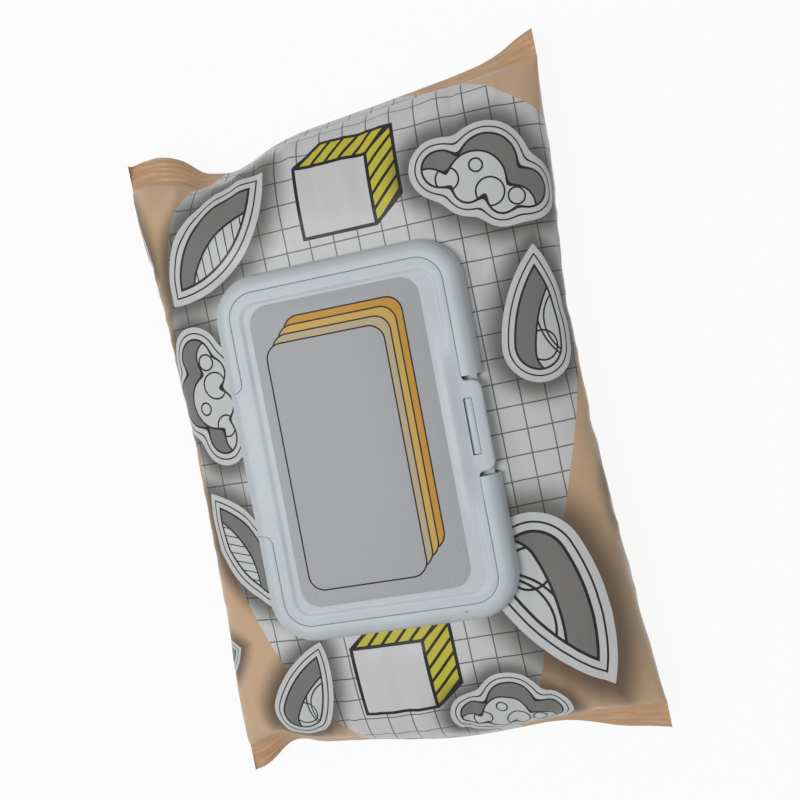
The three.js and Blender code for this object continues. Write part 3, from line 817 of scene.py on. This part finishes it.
def sticker_places(tree, film):
    """The film's place seen from the two nearest stickers, turned and scaled to them."""
    place, best = (999, 999, 0), 999
    other, next_best = (999, 999, 0), 999
    for x, y, turn, scale, kind in STICKERS:
        turned_to = (0, 0, math.radians(turn))
        inputs = [film, (x, y, -kind), turned_to, (scale, scale, 1)]
        local = add(tree, "ShaderNodeMapping", inputs, vector_type="TEXTURE")
        away = chain(tree, local, ("DISTANCE", (0, 0, kind)))
        nearer = chain(tree, away, ("LESS_THAN", best))
        # The second place takes the one that is passed over, if it is near enough
        lost = chain(tree, away, ("MAXIMUM", best))
        passed = add(tree, MIX, {0: nearer, 4: local, 5: place}, 1, data_type="VECTOR")
        second = chain(tree, lost, ("LESS_THAN", next_best))
        next_best = chain(tree, lost, ("MINIMUM", next_best))
        other = add(tree, MIX, {0: second, 4: other, 5: passed}, 1, data_type="VECTOR")
        best = chain(tree, away, ("MINIMUM", best))
        place = add(tree, MIX, {0: nearer, 4: place, 5: local}, 1, data_type="VECTOR")
    return place, other


# The grid's place and slant in millimetres, and the printed field's bounds: a wide arc on its left,
# and straight sides given by direction and distance
GRID_SHIFT = (3.525, -1.55, 0)
GRID_SHEAR = (0, -0.016, 0)
FIELD_LEFT = (107.5, 10, 163)
SIDE_LINE = ((0.994, -0.109, 0), 56.1)
FIELD_SIDES = (
    ((0.943, -0.333, 0), 52.5),
    ((0.566, 0.824, 0), 94.6),
    ((1, 0, 0), 68),
)


def paint_grid(tree, film, s):
    """The pale field with its thin grid inside a wide rounded boundary, and plain film outside."""
    cell = (s.grid_across / MM, s.grid_along / MM, 1)
    sheared = add(tree, VECTOR, [add(tree, SPLIT, [film]), GRID_SHEAR], operation="MULTIPLY")
    cells = chain(tree, film, ("ADD", GRID_SHIFT), ("ADD", sheared), ("DIVIDE", cell))
    middle = (0.5, 0.5, 0)
    steps = (("FRACTION",), ("SUBTRACT", middle), ("ABSOLUTE",), ("MULTIPLY", cell))
    away = chain(tree, cells, *steps)
    near = add(tree, MATH, [add(tree, SPLIT, [away], axis) for axis in (0, 1)], operation="MINIMUM")
    on_line = stroke(tree, near, 0, s.line_width / MM)
    pale = paint(tree, s.film_white, s.line_color, on_line)

    *left_middle, left_radius = FIELD_LEFT
    outside = ("DISTANCE", (*left_middle, 0)), ("SUBTRACT", left_radius)
    outside = chain(tree, film, *outside)
    for direction, limit in FIELD_SIDES:
        reach = chain(tree, film, ("DOT_PRODUCT", direction), ("SUBTRACT", limit))
        outside = chain(tree, outside, ("SMOOTH_MAX", reach, 5))
    inside = chain(tree, outside, ("LESS_THAN", 0))
    seal = add(tree, "ShaderNodeUVMap", uv_map="seal")
    strip = chain(tree, add(tree, SPLIT, [seal]), ("GREATER_THAN", 0))
    # Pale streaks along the seal, a millimetre wide and broken
    streaks = add(tree, "ShaderNodeMapping", [seal, None, None, (9, 7, 1)])
    streaks = add(tree, NOISE, {"Vector": streaks, "Scale": 1, "Detail": 3})
    streaks = add(tree, RANGE, {0: streaks, 1: 0.4, 2: 0.66, 3: 0, 4: 1})
    pressed = paint(tree, s.seal_peach, s.seal_streak, streaks)
    plain = paint(tree, s.film_peach, pressed, strip)
    direction, place = SIDE_LINE
    side_line = chain(tree, film, ("DOT_PRODUCT", direction))
    pale = paint(tree, pale, s.ink, stroke(tree, side_line, place, 0.4))
    return paint(tree, plain, pale, inside)


def paint_blocks(tree, film, color, s):
    """Striped blocks drawn as if seen from a corner, with a bare front."""
    place = (999, 999, 0)
    for x, y in BLOCKS:
        local = chain(tree, film, ("SUBTRACT", (x, y, 0)))
        near = chain(tree, local, ("LENGTH",), ("LESS_THAN", BLOCK_SPAN))
        place = add(tree, MIX, {0: near, 4: place, 5: local}, 1, data_type="VECTOR")
    side_x, side_y = BLOCK_SIDE
    half = (BLOCK_HALF_WIDTH, BLOCK_HALF_HEIGHT, 0)
    middle = (side_x / 2, side_y / 2, 0)
    whole = box_distance(tree, place, middle, (half[0] + middle[0], half[1] + middle[1], 0))
    front = box_distance(tree, place, (0, 0, 0), half)
    length = math.hypot(side_x, side_y)
    slope = (side_y / length, -side_x / length, 0)
    limit = (side_y * half[0] + side_x * half[1]) / length
    steps = (("SUBTRACT", middle), ("DOT_PRODUCT", slope), ("ABSOLUTE",), ("SUBTRACT", limit))
    across = chain(tree, place, *steps)
    whole = chain(tree, whole, ("MAXIMUM", across))
    # Stripes run along the block's depth
    x, y = (add(tree, SPLIT, [place], axis) for axis in (0, 1))
    slant = chain(tree, y, ("MULTIPLY", -side_x / side_y * 0.8), ("ADD", x))
    stripes = chain(tree, slant, ("FLOORED_MODULO", STRIPE_PITCH), ("LESS_THAN", STRIPE_WIDTH))
    striped = paint(tree, s.block_yellow, s.ink, stripes)
    # The edge between the two striped sides
    over = chain(tree, place, ("SUBTRACT", half), ("DIVIDE", (side_x, side_y, 1)))
    corner = add(tree, MATH, [add(tree, SPLIT, [over], axis) for axis in (0, 1)], operation="SUBTRACT")
    striped = paint(tree, striped, s.ink, stroke(tree, corner, 0, 0.16))
    inside = chain(tree, whole, ("LESS_THAN", 0))
    bare = chain(tree, front, ("LESS_THAN", 0))
    color = paint(tree, color, striped, inside)
    color = paint(tree, color, s.film_white, bare)
    near = chain(tree, whole, ("LESS_THAN", BLOCK_LINE / 2))
    for distance in (whole, front):
        edge = chain(tree, stroke(tree, distance, 0, BLOCK_LINE), ("MULTIPLY", near))
        color = paint(tree, color, s.ink, edge)
    return color


def box_distance(tree, place, middle, half):
    """Distance to an upright box in the film's plane, below 0 inside it."""
    away = chain(tree, place, ("SUBTRACT", middle), ("ABSOLUTE",), ("SUBTRACT", half))
    return add(tree, MATH, [add(tree, SPLIT, [away], axis) for axis in (0, 1)], operation="MAXIMUM")


def paint_stickers(tree, film, color, s):
    """Die-cut stickers with a soft dark halo, a thin line, a shaded side and drawn strokes."""
    group = outline_group()
    place, other = sticker_places(tree, film)
    shifted = chain(tree, place, ("ADD", (1.5, 4.6, 0)))
    edge, shade, beyond = (add(tree, "ShaderNodeGroup", {}, node_tree=group) for _ in range(3))
    for output, at in ((edge, place), (shade, shifted), (beyond, other)):
        tree.links.new(at, output.node.inputs[0])
    nearest = chain(tree, edge, ("SMOOTH_MIN", beyond, 3))
    halo = add(
        tree,
        RANGE,
        {0: nearest, 1: 0, 2: s.halo_width / MM, 3: s.halo_strength, 4: 0},
        interpolation_type="SMOOTHSTEP",
    )
    color = paint(tree, color, s.halo_color, halo, "MULTIPLY")
    inside = chain(tree, edge, ("LESS_THAN", 0))
    color = paint(tree, color, s.sticker_white, inside)
    core = chain(tree, edge, ("LESS_THAN", -STICKER_RIM))
    grey = chain(tree, shade, ("GREATER_THAN", -STICKER_RIM), ("MULTIPLY", core))
    color = paint(tree, color, s.sticker_grey, grey)
    # Drawn strokes on the pale part: ribs and a spine on leaves, and circles on the other kinds
    pale = chain(tree, core, ("SUBTRACT", grey))
    x, y, kind = (add(tree, SPLIT, [place], axis) for axis in (0, 1, 2))
    leafy = chain(tree, kind, ("LESS_THAN", 0.5))
    ribs = chain(tree, y, ("ABSOLUTE",), ("MULTIPLY_ADD", 0.9, x), ("FLOORED_MODULO", 2.6))
    ribs = chain(tree, stroke(tree, ribs, 1.3, 0.34), ("MULTIPLY", leafy))
    drawn = [("MAXIMUM", chain(tree, stroke(tree, y, 0.4, 0.4), ("MULTIPLY", leafy)))]
    flat = chain(tree, place, ("MULTIPLY", (1, 1, 0)))
    for centre, radius, owner in CIRCLES:
        away = chain(tree, flat, ("DISTANCE", (*centre, 0)))
        own = chain(tree, kind, ("COMPARE", owner, 0.5))
        arc = chain(tree, stroke(tree, away, radius, 0.42), ("MULTIPLY", own))
        drawn.append(("MAXIMUM", arc))
    drawn = chain(tree, ribs, *drawn, ("MULTIPLY", pale))
    for distance, at, width, within in (
        (edge, -STICKER_RIM / 2, 0.34, 1),
        (edge, -STICKER_RIM, 0.5, 1),
        (shade, -STICKER_RIM, 0.46, core),
    ):
        line = chain(tree, stroke(tree, distance, at, width), ("MULTIPLY", within))
        drawn = chain(tree, drawn, ("MAXIMUM", line))
    return paint(tree, color, s.ink, drawn)


def printed_film(s):
    """Laminated film of polyester over polyethylene, printed under its satin outer layer: broad
    soft highlights, and small dents that break them."""
    material, tree, shader = new_material(
        "printed_laminate_film", Roughness=0.36, IOR=1.5, Specular_IOR_Level=0.3
    )
    film = add(tree, "ShaderNodeUVMap", uv_map="film")
    color = paint_grid(tree, film, s)
    color = paint_blocks(tree, film, color, s)
    color = paint_stickers(tree, film, color, s)
    place = add(tree, PLACE, output=OBJECT)
    crinkle = {"Vector": place, "Scale": 120, "Detail": 2, "Roughness": 0.4}
    dress(tree, shader, color, add(tree, NOISE, crinkle), 0.35, 0.0006)
    return material


def moulded_plastic(s):
    """Polypropylene, injection moulded with a fine satin spark finish, slightly translucent."""
    material, tree, shader = new_material(
        "moulded_polypropylene",
        Roughness=0.42,
        IOR=1.49,
        Subsurface_Weight=0.3,
        Subsurface_Scale=0.002,
        Subsurface_Radius=(1, 1, 1),
    )
    place = add(tree, PLACE, output=OBJECT)
    cloud = add(tree, NOISE, {"Vector": place, "Scale": 90, "Detail": 3})
    tint = add(tree, RANGE, {0: cloud, 1: 0.35, 2: 0.7, 3: 0, 4: 1})
    color = paint(tree, s.plastic, s.plastic_shade, tint)
    specks = add(tree, "ShaderNodeTexVoronoi", {"Vector": place, "Scale": 95}, feature="F1")
    dust = chain(tree, specks, ("LESS_THAN", 0.035))
    color = paint(tree, color, s.dust, dust)
    grain = add(tree, NOISE, {"Vector": place, "Scale": 2600, "Detail": 1})
    dress(tree, shader, color, grain, 0.18, 0.00005)
    return material


# The stacked cards on the lid's label: middle of the front card, half size, corner, and the step
# from each card to the one behind it
CARD_X, CARD_Y = -4.75, -2.8
CARD_HALF_WIDTH, CARD_HALF_LENGTH, CARD_CORNER = 16.1, 33.1, 4.2
CARD_STEP = (1.97, 2.12)


def label_paper(s):
    """Coated label paper, printed: matt, with the fine specks of its pulp."""
    material, tree, shader = new_material("printed_label_paper", Roughness=0.62, IOR=1.45)
    place = add(tree, PLACE, output=OBJECT)
    fibre = add(tree, NOISE, {"Vector": place, "Scale": 1800, "Detail": 2})
    fleck = add(tree, RANGE, {0: fibre, 1: 0.35, 2: 0.75, 3: 0, 4: 0.5})
    paper = paint(tree, s.paper, s.paper_fleck, fleck)
    color = paper
    for number, face in ((3, s.card_orange), (2, s.card_gold), (1, s.card_tan), (0, paper)):
        x = LID_X + CARD_X + number * CARD_STEP[0]
        y = LID_Y + CARD_Y + number * CARD_STEP[1]
        inputs = [place, (x * MM, y * MM, 0), None, (MM, MM, MM)]
        local = add(tree, "ShaderNodeMapping", inputs, vector_type="TEXTURE")
        half = (CARD_HALF_WIDTH - CARD_CORNER, CARD_HALF_LENGTH - CARD_CORNER, 999)
        steps = (("ABSOLUTE",), ("SUBTRACT", half), ("MAXIMUM", (0, 0, 0)), ("LENGTH",))
        reach = chain(tree, local, *steps)
        inside = chain(tree, reach, ("LESS_THAN", CARD_CORNER))
        color = paint(tree, color, face, inside)
        edge = stroke(tree, reach, CARD_CORNER, 0.42)
        color = paint(tree, color, s.ink, edge)
    dress(tree, shader, color, fibre, 0.15, 0.00005)
    return material


def peel_film(s):
    """Polypropylene peel label: white, glossy, with the soft waves of its glue below."""
    material, tree, shader = new_material("peel_label_film", Roughness=0.25, IOR=1.49)
    place = add(tree, PLACE, output=OBJECT)
    waves = add(tree, NOISE, {"Vector": place, "Scale": 160, "Detail": 2})
    tint = add(tree, RANGE, {0: waves, 1: 0.3, 2: 0.75, 3: 0, 4: 0.6})
    color = paint(tree, s.peel_white, s.paper, tint)
    dress(tree, shader, color, waves, 0.3, 0.0003)
    return material


# Settings


def color_property(name, description, code):
    return FloatVectorProperty(
        name=name,
        description=description,
        default=linear(code),
        size=3,
        min=0,
        max=1,
        subtype="COLOR",
    )


def length_property(name, description, millimetres):
    return FloatProperty(
        name=name, description=description, default=millimetres * MM, min=0, unit="LENGTH"
    )


class FilmSettings(bpy.types.PropertyGroup):
    grid_across: length_property("Grid Across", "Width of a cell of the printed grid", 6.65)
    grid_along: length_property("Grid Along", "Length of a cell of the printed grid", 6.445)
    line_width: length_property("Line Width", "Width of the grid's lines", 0.36)
    halo_width: length_property("Halo Width", "Reach of the dark halo round a sticker", 7)
    halo_strength: FloatProperty(
        name="Halo Strength",
        description="How dark the halo is at the sticker's edge",
        default=0.92,
        min=0,
        max=1,
        subtype="FACTOR",
    )
    dent_depth: length_property("Dent Depth", "Depth of the film's broad dents", 1.2)
    wrinkle_depth: length_property("Wrinkle Depth", "Depth of the film's wrinkles", 0.9)
    film_white: color_property("Film White", "Pale printed field", "#c8c9c8")
    film_peach: color_property("Film Peach", "Plain printed field", "#c6a787")
    seal_peach: color_property("Seal Peach", "Plain print on the pressed seals", "#b7946f")
    seal_streak: color_property("Seal Streaks", "Pale streaks along the seals", "#cea27f")
    line_color: color_property("Grid Lines", "Lines of the grid", "#666564")
    ink: color_property("Ink", "Printed outlines", "#0c0c0e")
    block_yellow: color_property("Block Yellow", "Yellow of the striped blocks", "#c2b83c")
    sticker_white: color_property("Sticker White", "Pale part of a sticker", "#c4c6c6")
    sticker_grey: color_property("Sticker Grey", "Shaded part of a sticker", "#737270")
    halo_color: color_property("Halo", "Halo round a sticker, over the print", "#6e6b68")


class LidSettings(bpy.types.PropertyGroup):
    plastic: color_property("Plastic", "Colour of the moulded plastic", "#bdc3c7")
    plastic_shade: color_property("Plastic Shade", "Its darker clouds", "#b7bec3")
    dust: color_property("Dust", "Specks on the moulding", "#8e9296")


class LabelSettings(bpy.types.PropertyGroup):
    paper: color_property("Paper", "Printed ground of the lid label", "#adaeb1")
    paper_fleck: color_property("Paper Flecks", "Flecks in the ground", "#9fa0a4")
    card_tan: color_property("Tan", "Band next to the front card", "#b9aa8a")
    card_gold: color_property("Gold", "Middle band", "#cda758")
    card_orange: color_property("Orange", "Rear band", "#c69238")
    ink: color_property("Ink", "Printed outlines", "#121215")
    peel_white: color_property("Peel Label", "Peel label under the lid", "#d4d5d5")


class StageSettings(bpy.types.PropertyGroup):
    floor: color_property("Floor", "Colour of the floor under the pack", "#dcdcdc")
    key_power: FloatProperty(
        name="Key Light", description="Power of the main lamp, in watts", default=7.7, min=0
    )
    fill: FloatProperty(
        name="Fill", description="Strength of the light from all round", default=0.38, min=0
    )


# Operators


class WIPES_OT_film_pouch(bpy.types.Operator):
    """Makes the printed film bag with its seals, folds and dents"""

    bl_idname = "wipes_pack.film_pouch"
    bl_label = "Film Pouch"

    def execute(self, context):
        settings = context.scene.wipes_film
        finished(
            film_mesh(settings),
            "film",
            printed_film(settings),
            "pack",
            ["film_pouch"],
        )
        return {"FINISHED"}


class WIPES_OT_lid_parts(bpy.types.Operator):
    """Makes the moulded frame and the flip lid"""

    bl_idname = "wipes_pack.lid_parts"
    bl_label = "Lid and Frame"

    def execute(self, context):
        settings = context.scene.wipes_lid
        plastic = moulded_plastic(settings)
        for name, mesh, body, node in (
            ("moulded_frame", frame_mesh(), "pack", "lid_frame"),
            ("flip_lid_cover", lid_mesh(), "flip_lid", "lid"),
        ):
            piece = finished(mesh, name, plastic, body, [node], sharp=38)
            if node == "lid":
                cut_slot(piece)
        return {"FINISHED"}


class WIPES_OT_labels(bpy.types.Operator):
    """Prints the lid's label and finishes the peel label"""

    bl_idname = "wipes_pack.labels"
    bl_label = "Labels"

    def execute(self, context):
        settings = context.scene.wipes_label
        paper = label_paper(settings)
        finished(label_mesh(), "label", paper, "flip_lid", ["lid_label"], sharp=38)
        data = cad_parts["peel_seal"].data
        data.materials.clear()
        data.materials.append(peel_film(settings))
        return {"FINISHED"}


# The photograph's camera: place in millimetres, and its turns about its own axes in degrees
CAMERA_PLACE = (62.8, 12.4, 284.4)
CAMERA_ROLL, CAMERA_PITCH, CAMERA_YAW = 10.74, 1.44, -11.94
CAMERA_LENS, CAMERA_SENSOR = 45, 36
FLOOR_GAP = 0.1
FLOOR_GLOW = 0.92  # how much of the floor that the camera sees is plain white; the rest shows shadow


def area_light(name, place, size, power):
    light = bpy.data.lights.new(name, "AREA")
    light.shape = "DISK"
    light.size = size
    light.energy = power
    lamp = bpy.data.objects.new(name, light)
    lamp.location = place
    lamp.rotation_euler = (-Vector(place)).to_track_quat("-Z", "Y").to_euler()
    bpy.context.scene.collection.objects.link(lamp)
    return lamp


def seen_light(tree):
    """1 for rays from the camera, a mirror or glass."""
    rays = tree.nodes.new("ShaderNodeLightPath").outputs
    mirrored = (("MAXIMUM", rays[f"Is {kind} Ray"]) for kind in ("Glossy", "Transmission"))
    return chain(tree, rays["Is Camera Ray"], *mirrored)


class WIPES_OT_stage(bpy.types.Operator):
    """Sets up the floor, the lamps and the camera"""

    bl_idname = "wipes_pack.stage"
    bl_label = "Stage"

    def execute(self, context):
        settings = context.scene.wipes_stage
        scene = context.scene
        material, tree, shader = new_material("matt_paper_sweep", Roughness=0.9)
        shader.inputs["Base Color"].default_value = opaque(settings.floor)
        glow = add(tree, "ShaderNodeEmission", [(1, 1, 1, 1), 1.0])
        seen = chain(tree, seen_light(tree), ("MULTIPLY", FLOOR_GLOW))
        blend = add(tree, "ShaderNodeMixShader", [seen, shader.outputs[0], glow])
        # Seen from below, the floor lets the pack's underside show
        under = add(tree, "ShaderNodeNewGeometry", output=6)
        clear = add(tree, "ShaderNodeBsdfTransparent")
        blend = add(tree, "ShaderNodeMixShader", [under, blend, clear])
        tree.links.new(blend, tree.nodes["Material Output"].inputs[0])
        mesh = bmesh.new()
        below = Matrix.Translation((0, 0, -FLOOR_GAP * MM))
        bmesh.ops.create_grid(mesh, x_segments=1, y_segments=1, size=3, matrix=below)
        finished(mesh, "floor", material, None)

        world = scene.world or bpy.data.worlds.new("studio")
        scene.world = world
        world.use_nodes = True
        background = world.node_tree.nodes["Background"]
        background.inputs[0].default_value = (1, 1, 1, 1)
        strength = add(world.node_tree, MIX, {0: seen_light(world.node_tree), 2: settings.fill, 3: 1.0})
        world.node_tree.links.new(strength, background.inputs[1])
        area_light("key", (-0.42, -0.03, 1.2), 0.5, settings.key_power)

        camera = bpy.data.cameras.new("camera")
        camera.lens = CAMERA_LENS
        camera.sensor_width = CAMERA_SENSOR
        camera.clip_start = 0.01
        eye = bpy.data.objects.new("camera", camera)
        scene.collection.objects.link(eye)
        turn = (
            Matrix.Rotation(math.radians(CAMERA_ROLL), 3, "Z")
            @ Matrix.Rotation(math.radians(CAMERA_PITCH), 3, "X")
            @ Matrix.Rotation(math.radians(CAMERA_YAW), 3, "Y")
        )
        place = Matrix.Translation(Vector(CAMERA_PLACE) * MM)
        eye.matrix_world = place @ turn.transposed().to_4x4()
        scene.camera = eye
        scene.view_settings.view_transform = "Standard"
        return {"FINISHED"}


class WIPES_PT_panel(bpy.types.Panel):
    """Lists the pack's pieces"""

    bl_idname = "WIPES_PT_panel"
    bl_label = "Wet Wipes Pack"
    bl_space_type = "VIEW_3D"
    bl_region_type = "UI"
    bl_category = "Wipes"

    def draw(self, context):
        for operator in OPERATORS:
            self.layout.operator(operator.bl_idname)


OPERATORS = (
    WIPES_OT_film_pouch,
    WIPES_OT_lid_parts,
    WIPES_OT_labels,
    WIPES_OT_stage,
)
SETTINGS = {
    "wipes_film": FilmSettings,
    "wipes_lid": LidSettings,
    "wipes_label": LabelSettings,
    "wipes_stage": StageSettings,
}


def register():
    for made in (*SETTINGS.values(), *OPERATORS, WIPES_PT_panel):
        bpy.utils.register_class(made)
    for name, group in SETTINGS.items():
        setattr(bpy.types.Scene, name, PointerProperty(type=group))


def unregister():
    for name in SETTINGS:
        delattr(bpy.types.Scene, name)
    for made in (WIPES_PT_panel, *reversed(OPERATORS), *SETTINGS.values()):
        bpy.utils.unregister_class(made)


def main():
    register()
    bpy.ops.wipes_pack.film_pouch()
    bpy.ops.wipes_pack.lid_parts()
    bpy.ops.wipes_pack.labels()
    bpy.ops.wipes_pack.stage()


if __name__ == "__main__":
    main()
